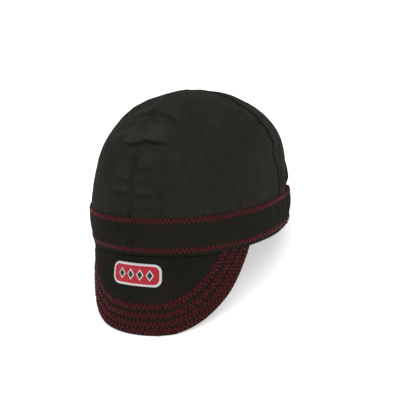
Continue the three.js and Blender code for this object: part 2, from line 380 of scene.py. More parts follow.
# A place on the crown, and the direction straight out of its cloth there
def crownPlace(angle, height, relief=1.0, lift=0.0):
    bandHeight = bandSettings["height"]
    turned = swayed(angle, height)
    reach = crownReach(turned, height)
    setback = crownSettings["topSetback"] * np.maximum(height - bandHeight, 0)
    setback = setback / (crownSettings["height"] - bandHeight)
    point = around(turned, reach, height)
    point[..., 1] += setback
    heart = np.zeros_like(point)
    heart[..., 1] = setback
    heart[..., 2] = crownSettings["height"] / 2
    outward = unit(point - heart)
    free = ramp((height - bandHeight) / crownSettings["ease"])
    behind = (np.abs(angle) - math.radians(crownSettings["seamsDeg"][1])) * reach
    step = np.exp(-np.abs(behind) / crownSettings["sideStepReach"]) * np.where(behind > 0, -1, 1)
    nearTip = ramp(reach / crownSettings["tipFade"])
    distance = seamDistance(angle, reach)
    shift = np.sign(angle) * crownSettings["puckerShift"]
    pucker = wavering(crownSettings, "pucker", 5, height, shift)
    pucker = pucker * np.exp(-distance / crownSettings["puckerSpread"])
    place = np.moveaxis(point, -1, 0)
    uneven = wavering(crownSettings, "unevenness", 3, *place)
    uneven = uneven + wavering(crownSettings, "fineUnevenness", 4, *place)
    stretched = height * crownSettings["backPleatStretch"]
    pleats = wavering(crownSettings, "backPleats", 9, angle * halfWidth, stretched)
    pleats = pleats * ramp(behind / crownSettings["backPleatStart"])
    pleats = pleats * (1 - ramp((height - crownSettings["backPleatTop"]) / crownSettings["backPleatFade"]))
    rise = (foldRise(angle, height)[0] + pucker + uneven + pleats) * free * nearTip
    rise = rise + (crownSettings["sideStep"] * step * nearTip - dentDepth(angle, height, reach)) * free
    rise = rise + relief * seamRelief(angle, distance, reach) + lift
    return point + outward * rise[..., None]


brimSettings = {
    "depth": 69,
    "halfSpan": 103.5,
    "cornerDepth": 1.5,
    "sideFullness": 2.19,
    "frontFullness": 1.15,
    "wall": 3,
    "tuck": 4,
    "frontSlopeDeg": 80.5,
    "sideSlopeDeg": 89.3,
    "stitchRows": (3.6, 9.6, 16.6, 24.4),
    "stitchSink": 0.5,
    "stitchSpread": 1.6,
    "stitchesFrom": -2.5,
    "stitchWear": 0.65,
    "stitchWearSpread": 2.6,
    "plainRise": 0.6,
    "plainStart": 2,
    "plainEase": 5,
    "edgeFade": 3,
    # Painted shade: the colour darkened along the brim's edge, and a painted shadow of the band's hem along
    # the groove below it
    "edgeShade": 0.5,
    "edgeShadeSpread": 1.2,
    "hemGroove": 0.9,
    "hemGrooveSpread": 1.8,
    "hemShade": 1.1,
    "hemShadeSpread": 1.6,
    "unevenness": 0.45,
    "unevennessLength": 34,
    "unevenStart": 12,
    "fineUnevenness": 0.16,
    "fineUnevennessLength": 7,
    "fineStart": 1,
    "fineEase": 4,
    "outlineSteps": 500,
    "columns": 210,
    "rows": 64,
    "rollSteps": 5,
    "spotsAtOnce": 2000,
}

rootAngles, rootLengths = lengthsRound(lambda angle: underBand(angle, 0))


# A point of the brim: across and down on its flat cloth, and a depth in from its outer face
def brimPoint(across, down, depth):
    across, down, depth = np.broadcast_arrays(across, down, depth)
    angle = np.sign(across) * np.interp(np.abs(across), rootLengths, rootAngles)
    step = math.pi / headSettings["profileSteps"]
    ahead = around(angle + step, underBand(angle + step, 0), 0)
    along = unit(ahead - around(angle - step, underBand(angle - step, 0), 0))
    out = np.stack([along[..., 1], -along[..., 0], 0 * angle], axis=-1)
    side = np.minimum(np.abs(across) / brimSettings["halfSpan"], 1) ** 2
    hanging = mix(brimSettings["frontSlopeDeg"], brimSettings["sideSlopeDeg"], side)
    slope = np.radians(np.where(down < 0, 90, hanging))
    forward = down * np.cos(slope) - depth * np.sin(slope)
    point = around(angle, underBand(angle, 0), 0) + out * forward[..., None]
    point[..., 2] -= down * np.sin(slope) + depth * np.cos(slope)
    return point


# The cap leans back until its hem and the brim's edge rest on the same surface
brimRest = brimPoint(0.0, brimSettings["depth"], brimSettings["wall"])
hemRest = around(math.pi, bandReach(math.pi, 0.0), 0.0)
leanBack = math.atan2(hemRest[2] - brimRest[2], hemRest[1] - brimRest[1])
leanAcross = np.array([[1, 0, 0], [0, math.cos(leanBack), math.sin(leanBack)],
                       [0, -math.sin(leanBack), math.cos(leanBack)]])
restHeight = (leanAcross @ hemRest)[2] + headSettings["restFlattening"]
upright = leanAcross[:, 2]


def layDown(points):
    laid = points @ leanAcross.T
    laid[..., 2] -= restHeight
    sunk = np.minimum(laid[..., 2], 0)
    return laid - (sunk / upright[2])[..., None] * upright


frontEdge = layDown(brimPoint(0.0, brimSettings["depth"], 0.0))
frameShift = np.array([0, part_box("brim")[0].y / mm - frontEdge[1], 0])
print("cap leans back", round(math.degrees(leanBack), 2), "degrees")


# Rows up one face of a piece and back down the other
def thereAndBack(outer, inner):
    return np.concatenate([outer, inner[:, ::-1]], axis=1)


# A mesh of rows of points round each column's closed section. It holds a UV map in metres, and
# how worn the cloth is, with painted light added: below 0 is painted shade in a crease, seam or
# groove, and above 0 the cloth is lighter from wear on the band and brim, and from a painted
# highlight on the crown's fold ridges.
def loft(name, sections, across, material, wearAndPaintedLight=None, isRing=False):
    columns, count = sections.shape[:2]
    spans = columns if isRing else columns - 1
    column, row = np.meshgrid(np.arange(spans), np.arange(count), indexing="ij")
    corners = [(column, row), (column + 1, row), (column + 1, row + 1), (column, row + 1)]
    quads = np.stack([(c % columns) * count + r % count for c, r in corners], axis=-1).reshape(-1, 4)
    steps = np.linalg.norm(np.diff(sections, axis=1, append=sections[:, :1]), axis=-1)
    along = np.concatenate([np.zeros((columns, 1)), np.cumsum(steps, axis=1)], axis=1)
    across = np.concatenate([across, across[:, :1]], axis=1)
    if isRing:
        along = np.concatenate([along, along[:1]])
    uv = np.stack([across, along], axis=-1) * mm
    cornerUv = np.stack([uv[c, r] for c, r in corners], axis=-2).reshape(-1, 2)
    if not isRing:
        i = np.arange(count // 2 - 1)
        start = np.stack([i, i + 1, count - 2 - i, count - 1 - i], axis=-1)
        end = start[:, ::-1] + (columns - 1) * count
        quads = np.concatenate([quads, start, end])
        flat = uv[:, :-1].reshape(-1, 2)
        cornerUv = np.concatenate([cornerUv, flat[start.ravel()], flat[end.ravel()]])
    return addMesh(name, layDown(sections).reshape(-1, 3), quads.tolist(), cornerUv, material, wearAndPaintedLight)


def addMesh(name, points, faces, cornerUv, material, wearAndPaintedLight=None):
    mesh = bpy.data.meshes.new(name)
    mesh.from_pydata(((points + frameShift) * mm).tolist(), [], faces)
    mesh.uv_layers.new(name="clothUv").data.foreach_set("uv", cornerUv.astype(np.float32).ravel())
    # The attribute holds wear together with painted shade and painted highlights
    worn = mesh.attributes.new("wearAndPaintedLight", "FLOAT", "POINT")
    worn.data.foreach_set("value", np.zeros(len(points), np.float32) if wearAndPaintedLight is None
                          else wearAndPaintedLight.astype(np.float32).ravel())
    mesh.polygons.foreach_set("use_smooth", np.ones(len(mesh.polygons), bool))
    mesh.materials.append(material)
    piece = bpy.data.objects.new(name, mesh)
    bpy.context.scene.collection.objects.link(piece)
    return piece


# Stitches: a thin round thread along each path of points
def layThreads(name, paths, radius, material, sides=6):
    laid = layDown(paths)
    laid[..., 2] = np.maximum(laid[..., 2], radius)
    tangent = unit(np.gradient(laid, axis=1))
    outward = unit(laid.mean(axis=1, keepdims=True) - np.array([0, 0, bandSettings["height"]]))
    beside = unit(np.cross(tangent, outward))
    above = np.cross(beside, tangent)
    turn = np.arange(sides) * 2 * math.pi / sides
    ring = radius * (np.cos(turn)[:, None] * beside[:, :, None] + np.sin(turn)[:, None] * above[:, :, None])
    points = laid[:, :, None] + ring
    legs, length = paths.shape[:2]
    leg, step, side = np.meshgrid(np.arange(legs), np.arange(length - 1), np.arange(sides), indexing="ij")
    corners = [(step, side), (step + 1, side), (step + 1, side + 1), (step, side + 1)]
    quads = np.stack([(leg * length + s) * sides + k % sides for s, k in corners], axis=-1).reshape(-1, 4)
    ends = np.arange(legs)[:, None] * length * sides + np.arange(sides)
    caps = ends.tolist() + (ends[:, ::-1] + (length - 1) * sides).tolist()
    travel = np.linalg.norm(np.diff(laid, axis=1, prepend=laid[:, :1]), axis=-1).cumsum(axis=1)
    oneSide = 2 * math.pi * radius / sides
    uv = np.stack([np.stack([travel[leg, s], k * oneSide + 0 * leg], axis=-1) for s, k in corners], axis=-2)
    cornerUv = np.concatenate([uv.reshape(-1, 2), np.zeros((2 * legs * sides, 2))]) * mm
    return addMesh(name, points.reshape(-1, 3), quads.tolist() + caps, cornerUv, material)


# One output of a node, so that sums on it read as plain maths
class Shade:
    def __init__(self, tree, socket=None):
        self.tree = tree
        self.socket = socket

    def node(self, kind, settings=None, values=None, outputs=(0,)):
        made = self.tree.nodes.new(kind)
        for name, value in (settings or {}).items():
            if name == "stops":
                for stop, (place, colour) in zip(made.color_ramp.elements, value):
                    stop.position = place
                    stop.color = colour
            else:
                setattr(made, name, value)
        for name, value in (values or {}).items():
            if isinstance(value, Shade):
                self.tree.links.new(value.socket, made.inputs[name])
            else:
                made.inputs[name].default_value = value
        found = [Shade(self.tree, made.outputs[output]) for output in outputs]
        return found if len(found) > 1 else found[0]

    def maths(self, operation, first, second=0.0):
        return self.node("ShaderNodeMath", {"operation": operation}, {0: first, 1: second})

    def __add__(self, other):
        return self.maths("ADD", self, other)

    def __sub__(self, other):
        return self.maths("SUBTRACT", self, other)

    def __rsub__(self, other):
        return self.maths("SUBTRACT", other, self)

    def __mul__(self, other):
        return self.maths("MULTIPLY", self, other)

    __radd__ = __add__
    __rmul__ = __mul__

    def wave(self):
        return self.maths("SINE", self)

    def clamped(self):
        return self.node("ShaderNodeClamp", {}, {"Value": self})

    def blend(self, first, second):
        values = {"Factor": self.clamped(), 6: first, 7: second}
        return self.node("ShaderNodeMix", {"data_type": "RGBA"}, values, (2,))

    def noise(self, place, scale, detail=2.0):
        return self.node("ShaderNodeTexNoise", {}, {"Vector": place, "Scale": scale, "Detail": detail})


def newMaterial(name, constants):
    material = bpy.data.materials.new(name)
    material.use_nodes = True
    shader = material.node_tree.nodes["Principled BSDF"]
    for socket, value in constants.items():
        shader.inputs[socket].default_value = value
    shade = Shade(material.node_tree)

    def connect(**links):
        for socket, value in links.items():
            material.node_tree.links.new(value.socket, shader.inputs[socket.replace("_", " ")])
        return material

    return shade, connect


clothFinish = {
    "walePitch": 0.00085,
    "waleSlant": 0.8,
    "waleDrift": 0.0006,
    "driftScale": 160.0,
    "yarnPitch": 0.00055,
    "fibreScale": 1500.0,
    "patchScale": 26.0,
    "mottleScale": 130.0,
    "slubScale": 130.0,
    "slubAcross": 6.0,
    "slubAlong": 0.6,
    "tone": {"patches": 0.9, "mottle": 0.7, "slub": 0.9, "fibre": 0.4, "wale": 0.14},
    # How the mottle and fibres weigh in the lightening by wear and painted highlights
    "rubAndHighlight": {"mottle": 1.2, "fibre": 0.4},
    "relief": {"wale": 0.35, "yarn": 0.12, "fibre": 0.7, "mottle": 0.9},
    "weaveDepth": 0.00012,
    "weaveStrength": 0.7,
    "shadowSlope": -0.75,
    "shadowTone": 0.25,
    "specular": 0.035,
    "roughness": 0.92,
    "roughnessSpread": 0.14,
    "sheen": 0.004,
    "sheenRoughness": 0.5,
    "sheenTint": (1, 0.97, 0.93, 1),
}


# Brushed cotton twill: slanted wales, fine yarns, fibre haze, lighter worn places and painted
# highlights, and painted shade where the mesh's attribute is below 0
def twill(name, deep, pale, worn, finish=clothFinish):
    shade, connect = newMaterial(name, {
        "Sheen Weight": finish["sheen"],
        "Sheen Roughness": finish["sheenRoughness"],
        "Sheen Tint": finish["sheenTint"],
        "Specular IOR Level": finish["specular"],
    })
    uv, place = shade.node("ShaderNodeTexCoord", outputs=("UV", "Object"))
    across, along = shade.node("ShaderNodeSeparateXYZ", {}, {"Vector": uv}, ("X", "Y"))
    drift = shade.noise(uv, finish["driftScale"], 2.0)
    slanted = across + along * finish["waleSlant"] + drift * finish["waleDrift"]
    wale = (slanted * (2 * math.pi / finish["walePitch"])).wave()
    yarn = (across * (2 * math.pi / finish["yarnPitch"])).wave()
    fibre = shade.noise(uv, finish["fibreScale"], 3.0)
    patches = shade.noise(place, finish["patchScale"], 3.0)
    mottle = shade.noise(place, finish["mottleScale"], 4.0)
    wearAndPaintedLight = shade.node("ShaderNodeAttribute", {"attribute_name": "wearAndPaintedLight"}, {}, ("Fac",))
    shadow = (wearAndPaintedLight * finish["shadowSlope"]).clamped()
    slubPlace = shade.node("ShaderNodeCombineXYZ", {}, {
        "X": across * finish["slubAcross"], "Y": along * finish["slubAlong"]})
    slub = shade.noise(slubPlace, finish["slubScale"], 3.0)
    parts = finish["tone"]
    tone = (patches - 0.5) * parts["patches"] + (mottle - 0.5) * parts["mottle"]
    tone = tone + (slub - 0.5) * parts["slub"] + (fibre - 0.5) * parts["fibre"]
    tone = tone + wale * parts["wale"] + 0.5
    cloth = tone.blend((*deep, 1), (*pale, 1))
    # Lighter where the attribute is above 0: wear, and a painted highlight on the crown's fold ridges
    parts = finish["rubAndHighlight"]
    rubbedAndHighlit = (wearAndPaintedLight * (mottle * parts["mottle"] + fibre * parts["fibre"])).blend(cloth, (*worn, 1))
    # Painted shade where the attribute is below 0
    colour = shadow.blend(rubbedAndHighlit, tuple(value * finish["shadowTone"] for value in deep) + (1,))
    parts = finish["relief"]
    height = wale * parts["wale"] + yarn * parts["yarn"] + fibre * parts["fibre"] + mottle * parts["mottle"]
    bump = shade.node("ShaderNodeBump", {}, {
        "Strength": finish["weaveStrength"], "Distance": finish["weaveDepth"], "Height": height})
    rough = finish["roughness"] + (mottle - 0.5) * finish["roughnessSpread"]
    return connect(Base_Color=colour, Roughness=rough, Normal=bump)


threadFinish = {
    "plyPitch": 0.0007,
    "plySlant": 0.6,
    "plyDepth": 0.00008,
    "plyStrength": 0.6,
    "fadeScale": 220.0,
    "fuzzScale": 2600.0,
    "tone": {"ply": 0.55, "fade": 0.6, "fuzz": 0.4},
    "fuzzRelief": 0.4,
    "sheenShare": 0.15,
    "sheenRoughness": 0.4,
    "roughnessSpread": 0.2,
}


# Twisted thread: slanted plies, with painted shade darkening the grooves between them
def thread(name, deep, bright, roughness=0.5, gloss=0.12, finish=threadFinish):
    shade, connect = newMaterial(name, {
        "Sheen Weight": gloss * finish["sheenShare"],
        "Sheen Roughness": finish["sheenRoughness"],
        "Specular IOR Level": gloss,
    })
    uv, place = shade.node("ShaderNodeTexCoord", outputs=("UV", "Object"))
    length, turn = shade.node("ShaderNodeSeparateXYZ", {}, {"Vector": uv}, ("X", "Y"))
    ply = ((length + turn * finish["plySlant"]) * (2 * math.pi / finish["plyPitch"])).wave() * 0.5 + 0.5
    fade = shade.noise(place, finish["fadeScale"], 2.0)
    fuzz = shade.noise(place, finish["fuzzScale"], 2.0)
    parts = finish["tone"]
    # The plies' wave also sets the tone: painted shade in the grooves between plies
    tone = ply * parts["ply"] + fade * parts["fade"] + (fuzz - 0.5) * parts["fuzz"]
    height = ply + fuzz * finish["fuzzRelief"]
    bump = shade.node("ShaderNodeBump", {}, {
        "Strength": finish["plyStrength"], "Distance": finish["plyDepth"], "Height": height})
    rough = roughness + (fuzz - 0.5) * finish["roughnessSpread"]
    return connect(Base_Color=tone.blend((*deep, 1), (*bright, 1)), Roughness=rough, Normal=bump)


charcoalTwill = twill("charcoalTwill",
                      (0.0138, 0.013, 0.0104), (0.0276, 0.0262, 0.0212), (0.055, 0.051, 0.044))
bandTwill = twill("bandTwill", (0.0092, 0.0084, 0.0063), (0.0186, 0.0169, 0.0127), (0.04, 0.021, 0.018))
brimTwill = twill("brimTwill", (0.0088, 0.0078, 0.0061), (0.0176, 0.0154, 0.0122), (0.036, 0.0092, 0.0098))
redThread = thread("redThread", (0.036, 0.0042, 0.0058), (0.116, 0.0105, 0.0145))
blackThread = thread("blackThread", (0.006, 0.006, 0.005), (0.018, 0.017, 0.015), gloss=0.05)
whiteThread = thread("whiteThread", (0.5, 0.49, 0.47), (0.86, 0.85, 0.83), 0.42, gloss=0.3)
emblemRed = thread("emblemRed", (0.34, 0.012, 0.028), (0.66, 0.03, 0.06), 0.38, gloss=0.3)
emblemBlack = thread("emblemBlack", (0.008, 0.008, 0.008), (0.03, 0.029, 0.028), 0.38, gloss=0.3)


def dress(piece, slot, *nodes):
    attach(piece, "root")
    if nodes:
        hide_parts(*nodes)
    return piece


# Heights at which the crown closes in to its tip
def tipHeights(angles):
    low = np.full_like(angles, bandSettings["height"], dtype=float)
    high = np.full_like(low, crownSettings["height"])
    for halving in range(crownSettings["halvings"]):
        middle = (low + high) / 2
        isOpen = crownReach(angles, middle) > crownSettings["tipReach"]
        low, high = np.where(isOpen, middle, low), np.where(isOpen, high, middle)
    return low


# Heights of rows spaced evenly along the cloth, one line of them for each angle, and the cloth's
# length up each line
def heightsUp(angles, shares):
    tops = tipHeights(angles)[:, None]
    fine = np.linspace(0, 1, headSettings["profileSteps"] + 1)
    heights = mix(tops, bandSettings["height"], (1 - fine) ** crownSettings["heightCrowding"])
    reaches = crownReach(angles[:, None], heights)
    steps = np.hypot(np.diff(reaches, axis=1), np.diff(heights, axis=1))
    lengths = np.concatenate([np.zeros((len(angles), 1)), np.cumsum(steps, axis=1)], axis=1)
    found = [np.interp(shares * line[-1], line, up) for line, up in zip(lengths, heights)]
    return np.array(found), lengths[:, -1]


# Columns crowd towards a panel's two seams, where the cloth's relief is finest
def crowded(count):
    share = np.linspace(0, 1, count + 1)
    return share - crownSettings["columnCrowding"] * np.sin(2 * math.pi * share) / (2 * math.pi)


# The cloth's inner side: a wall's thickness in from its backing, and more over the seams' allowances
def crownInside(backing, places, reach):
    climb = np.gradient(backing, axis=1)
    out = around(places, 1.0, 0.0)
    inward = -out * climb[..., 2:3]
    inward[..., 2] = (climb * out).sum(axis=-1)
    fromAllowance = seamDistance(places, reach) - crownSettings["insideAllowance"]
    allowance = 1 - ramp(fromAllowance / crownSettings["insideAllowanceEdge"])
    doubled = crownSettings["insideAllowanceWall"] * allowance * ramp(reach / crownSettings["insideTipFade"])
    return backing + unit(inward) * (crownSettings["wall"] + doubled)[..., None]


# Painted light on the crown's outer side: painted shade in the seams, beside the topstitches and in
# the creases is below 0, and a painted highlight on the folds' ridges is above 0
def crownPaintedLight(places, heights, reach):
    distance = seamDistance(places, reach)
    crease, ridge = foldRise(places, heights)[1:]
    inStitch = hill(distance - crownSettings["topstitchInset"], crownSettings["topstitchShadeWidth"])
    topstitch = seamSetting("topstitchShade", places) * inStitch
    dark = np.maximum(seamSetting("seamShade", places) * inSeam(places, distance), topstitch)
    return crownSettings["ridgeHighlight"] * ridge - np.maximum(dark, crownSettings["creaseShade"] * crease)


def crownPanel(name, startDeg, endDeg):
    start, end = math.radians(startDeg), math.radians(endDeg)
    share = crowded(crownSettings["columns"])
    angles = mix(start, end, share)
    hem = brimSettings["tuck"] + headSettings["clearance"]
    hidden = np.linspace(hem, bandSettings["height"], crownSettings["hiddenRows"] + 1)[:-1]
    visible = heightsUp(angles, np.linspace(0, 1, crownSettings["rows"] + 1))[0]
    heights = np.concatenate([np.tile(hidden, (len(angles), 1)), visible], axis=1)
    reach = crownReach(angles[:, None], heights)
    cut = np.arcsin(crownSettings["seamGap"] / reach)
    lap = np.arcsin(np.minimum(crownSettings["seamLap"] / reach, crownSettings["widestLap"]))
    places = mix(start + cut, end - cut, share[:, None])
    outer = crownPlace(places, heights)
    backing = crownPlace(mix(start - lap, end + lap, share[:, None]), heights, relief=0.0)
    sections = thereAndBack(outer, crownInside(backing, places, reach))
    # Painted shade and painted highlight on the outer side; the inner side gets none
    worn = crownPaintedLight(places, heights, reach)
    wearAndPaintedLight = thereAndBack(worn, 0 * worn)
    across = (places - (start + end) / 2) * reach
    across = thereAndBack(across, across)
    panel = loft("crown_cloth_" + name, sections, across, charcoalTwill, wearAndPaintedLight)
    dress(panel, "crown_cloth", "crown_panel_" + name)


frontSeam, leftSeam, backSeam, rightSeam = crownSettings["seamsDeg"]
crownPanel("front_left", frontSeam, leftSeam)
crownPanel("front_right", rightSeam, frontSeam)
crownPanel("back_left", leftSeam, backSeam)
crownPanel("back_right", -backSeam, rightSeam)
print("crown panels done")

topstitchSettings = {
    "stitch": 2.6,
    "gap": 0.5,
    "radius": 0.13,
    "arch": 1.6,
    "sink": 0.9,
    "leastReach": 3,
    "points": 5,
    "lineSteps": 400,
}


# Two rows of black topstitches beside each seam of the crown
def crownTopstitches():
    legs = []
    pitch = topstitchSettings["stitch"] + topstitchSettings["gap"]
    along = np.linspace(0, 1, topstitchSettings["points"])
    for seamDeg in crownSettings["seamsDeg"]:
        seam = np.array([math.radians(seamDeg)])
        fine = np.linspace(0, 1, topstitchSettings["lineSteps"])
        heights, length = heightsUp(seam, fine)
        count = int(length[0] / pitch)
        starts = np.arange(1, count - 2) * pitch
        spots = (starts[:, None] + along * topstitchSettings["stitch"]) / length[0]
        up = np.interp(spots, fine, heights[0])
        arch = topstitchSettings["arch"] * np.sin(math.pi * along) - topstitchSettings["sink"]
        lift = topstitchSettings["radius"] * arch
        for side in (-1, 1):
            reach = np.maximum(crownReach(seam, up), topstitchSettings["leastReach"])
            angle = seam + side * crownSettings["topstitchInset"] / reach
            legs.append(crownPlace(angle, up, lift=np.broadcast_to(lift, up.shape)))
    return layThreads("crown_topstitches", np.concatenate(legs), topstitchSettings["radius"], blackThread)


dress(crownTopstitches(), "crown_cloth")
print("crown topstitches done")


# How far a place is into the seam that joins the band's ends, from 0 to 1
def inJoin(angle):
    return hill(seamDistance(angle, halfLength, [bandSettings["joinDeg"]]), bandSettings["joinWidth"])


# A place on the band's outer cloth, or on its inner side
def bandPlace(angle, height, depth=0.0, lift=0.0):
    angle, height, depth = np.broadcast_arrays(angle, height, depth)
    zone = gatherZone(angle)
    reach = bandReach(angle, height) + bandSettings["gatherDepth"] * gatherAt(angle)
    across = angle * (halfWidth + halfLength) / 2
    pleats = wavering(bandSettings, "pleats", 11, across, height * bandSettings["pleatStretch"])
    place = np.moveaxis(around(angle, halfWidth, height), -1, 0)
    fromFront = np.degrees(np.abs(angle))
    pleated = ramp((fromFront - bandSettings["pleatStartDeg"]) / bandSettings["pleatFadeDeg"])
    rise = pleats * pleated + wavering(bandSettings, "unevenness", 12, *place)
    for row in bandSettings["stitchRows"]:
        rise = rise - fading(bandSettings, "stitchSink", height - row)
    rise = rise - fading(bandSettings, "topDraw", height - bandSettings["height"])
    ridge = fading(bandSettings, "seamRidge", seamDistance(angle, halfWidth))
    rise = rise + ridge * (1 - zone) - bandSettings["joinDepth"] * inJoin(angle)
    return around(angle, reach + rise - depth + lift, height)


# Height of the hem, which is pressed up where the cap rests on it
def hemHeight(angle):
    reach = bandReach(angle, 0.0) + bandSettings["gatherDepth"] * gatherAt(angle) + bandSettings["hemSpare"]
    laidLow = reach * np.cos(angle) * math.sin(leanBack) - restHeight
    return np.maximum(-laidLow / math.cos(leanBack), 0)


def headBand():
    columns, radius = bandSettings["columns"], bandSettings["wall"] / 2
    angles = np.linspace(-math.pi, math.pi, columns + 1)[:-1]
    hem = hemHeight(angles)[:, None] + radius
    top = bandSettings["height"] - radius
    roll = np.linspace(0, math.pi, bandSettings["rollSteps"] + 1)
    outer = np.linspace(0, 1, bandSettings["outerRows"])
    inner = np.linspace(1, 0, bandSettings["innerRows"] + 1)[:-1]
    heights = np.concatenate([
        hem - radius * np.sin(roll[:-1]), mix(hem, top, outer),
        top + radius * np.sin(roll[1:-1]) + 0 * hem, mix(hem, top, inner)], axis=1)
    depths = np.concatenate([
        radius + radius * np.cos(roll[:-1]), 0 * outer,
        radius - radius * np.cos(roll[1:-1]), 0 * inner + bandSettings["wall"]])
    sections = bandPlace(angles[:, None], heights, np.broadcast_to(depths, heights.shape))
    lengths = np.linspace(0, headSettings["girth"], columns + 1)[:, None]
    across = np.broadcast_to(lengths, (columns + 1, heights.shape[1]))
    wearSpread = bandSettings["stitchWearSpread"]
    stitched = sum(hill(heights - row, wearSpread) for row in bandSettings["stitchRows"])
    nearTop = fading(bandSettings, "topWear", heights - bandSettings["height"])
    wearAndPaintedLight = nearTop + stitched * bandSettings["stitchWear"]
    # Painted shade in the join's groove, on top of the wear near the top edge and along the stitched rows
    wearAndPaintedLight = wearAndPaintedLight - bandSettings["joinShade"] * inJoin(angles)[:, None]
    return loft("cap_head_band", sections, across, bandTwill, wearAndPaintedLight, isRing=True)


band = dress(headBand(), "band_cloth", "head_band")
print("band done")

# The brim's outline on the flat, its edge pressed up where it rests on the floor
outlineTurns = np.linspace(-math.pi / 2, math.pi / 2, brimSettings["outlineSteps"] + 1)
cutCos = np.maximum(np.cos(outlineTurns), 0)
cutSin = np.sin(outlineTurns)
sideways = np.abs(cutSin) ** (2 / brimSettings["sideFullness"])
outlineAcross = brimSettings["halfSpan"] * np.sign(cutSin) * sideways
forwards = cutCos ** (2 / brimSettings["frontFullness"])
outlineDown = mix(brimSettings["cornerDepth"], brimSettings["depth"], forwards)
edgeRadius = brimSettings["wall"] / 2
laidTop = (brimPoint(outlineAcross, 1.0, edgeRadius) @ leanAcross.T)[:, 2] - restHeight
laidNext = (brimPoint(outlineAcross, 2.0, edgeRadius) @ leanAcross.T)[:, 2] - restHeight
floorDown = 1 + (laidTop - edgeRadius) / (laidTop - laidNext) + edgeRadius
outlineDown = np.minimum(outlineDown, floorDown)
outline = np.stack([outlineAcross, outlineDown], axis=-1)
outlineSteps = unit(np.gradient(outline, axis=0))
outlineInward = np.stack([outlineSteps[:, 1], -outlineSteps[:, 0]], axis=-1)


# Distance in from the brim's edge, at places on the flat
def insetOf(across, down):
    spots = np.stack(np.broadcast_arrays(across, down), axis=-1)
    flatSpots = spots.reshape(-1, 2)
    starts, ways = outline[:-1], np.diff(outline, axis=0)
    lengths = np.maximum((ways ** 2).sum(axis=1), 1e-9)
    found = []
    for part in np.array_split(flatSpots, max(len(flatSpots) // brimSettings["spotsAtOnce"], 1)):
        offset = part[:, None] - starts
        share = np.clip((offset * ways).sum(axis=-1) / lengths, 0, 1)
        found.append(np.linalg.norm(offset - share[..., None] * ways, axis=-1).min(axis=1))
    return np.concatenate(found).reshape(spots.shape[:-1])


# How far the brim's padded cloth stands out between its rows of stitches, on both of its faces, and
# how far both faces bend outwards together
def brimRelief(across, down):
    inset = insetOf(across, down)
    rows = brimSettings["stitchRows"]
    pastRows = inset - rows[-1]
    risen = ramp((pastRows - brimSettings["plainStart"]) / brimSettings["plainEase"])
    plain = brimSettings["plainRise"] * risen
    sink = sum(hill(inset - row, brimSettings["stitchSpread"]) for row in rows)
    fine = wavering(brimSettings, "fineUnevenness", 22, across, down)
    fine = fine * (1 - ramp((pastRows - brimSettings["fineStart"]) / brimSettings["fineEase"]))
    relief = (plain - brimSettings["stitchSink"] * sink + fine) * ramp(inset / brimSettings["edgeFade"])
    uneven = wavering(brimSettings, "unevenness", 21, across, down)
    groove = fading(brimSettings, "hemGroove", down)
    return relief, uneven * ramp(down / brimSettings["unevenStart"]) + groove


def brimPlace(across, down, lift=0.0, inside=False):
    relief, bend = brimRelief(across, down)
    if inside:
        return brimPoint(across, down, brimSettings["wall"] + relief - bend + lift)
    return brimPoint(across, down, -relief - bend - lift)


# How worn the brim is along its stitches, less painted shade along its edge and a painted shadow in
# the groove at the hem, which are below 0
def brimWearAndShade(across, down):
    inset = insetOf(across, down)
    rows = sum(hill(inset - row, brimSettings["stitchWearSpread"]) for row in brimSettings["stitchRows"])
    worn = brimSettings["stitchWear"] * rows
    return worn - fading(brimSettings, "edgeShade", inset) - fading(brimSettings, "hemShade", down)


def brim():
    columns, rows, steps = brimSettings["columns"], brimSettings["rows"], brimSettings["rollSteps"]
    picks = np.linspace(0, brimSettings["outlineSteps"], columns + 1)
    at = np.arange(brimSettings["outlineSteps"] + 1)
    edge, inward = (np.stack([np.interp(picks, at, line) for line in values.T], axis=-1)
                    for values in (outline, outlineInward))
    inward = unit(inward)
    roll = math.pi / 2 * (np.arange(steps) + 0.5) / steps
    start = edge + inward * edgeRadius
    up = np.linspace(0, 1, rows + 1)[None, :, None]
    high = np.stack([edge[:, 0], np.full(columns + 1, -float(brimSettings["tuck"]))], axis=-1)
    face = mix(start[:, None], high[:, None], up)
    rolled = edge[:, None] + inward[:, None] * (edgeRadius * (1 - np.cos(roll)))[None, :, None]
    across, down = np.moveaxis(np.concatenate([rolled, face], axis=1), -1, 0)
    deep = np.concatenate([edgeRadius * (1 - np.sin(roll)), np.zeros(rows + 1)])
    relief, bend = brimRelief(across, down)
    outer = brimPoint(across, down, deep - relief - bend)
    inner = brimPoint(across, down, brimSettings["wall"] - deep + relief - bend)
    sections = thereAndBack(outer, inner)
    worn = brimWearAndShade(across, down)
    wearAndPaintedLight = thereAndBack(worn, worn)
    across = thereAndBack(across, across)
    return loft("cap_brim", sections, across, brimTwill, wearAndPaintedLight)


cloth = dress(brim(), "brim_cloth", "brim")
print("brim done")

zigzagSettings = {
    "cycle": 3.6,
    "width": {"band": 3.9, "brim": 5},
    "radius": 0.52,
    "arch": 1.5,
    "archPower": 0.7,
    "sink": 0.75,
    "turnOver": 0.6,
    "turnOverFrom": 0.5,
    "points": 7,
    "jitter": {"band": 0.2, "brim": 0.32},
    "firstSeed": {"band": 31, "brim": 41},
    "lineSteps": 1440,
}


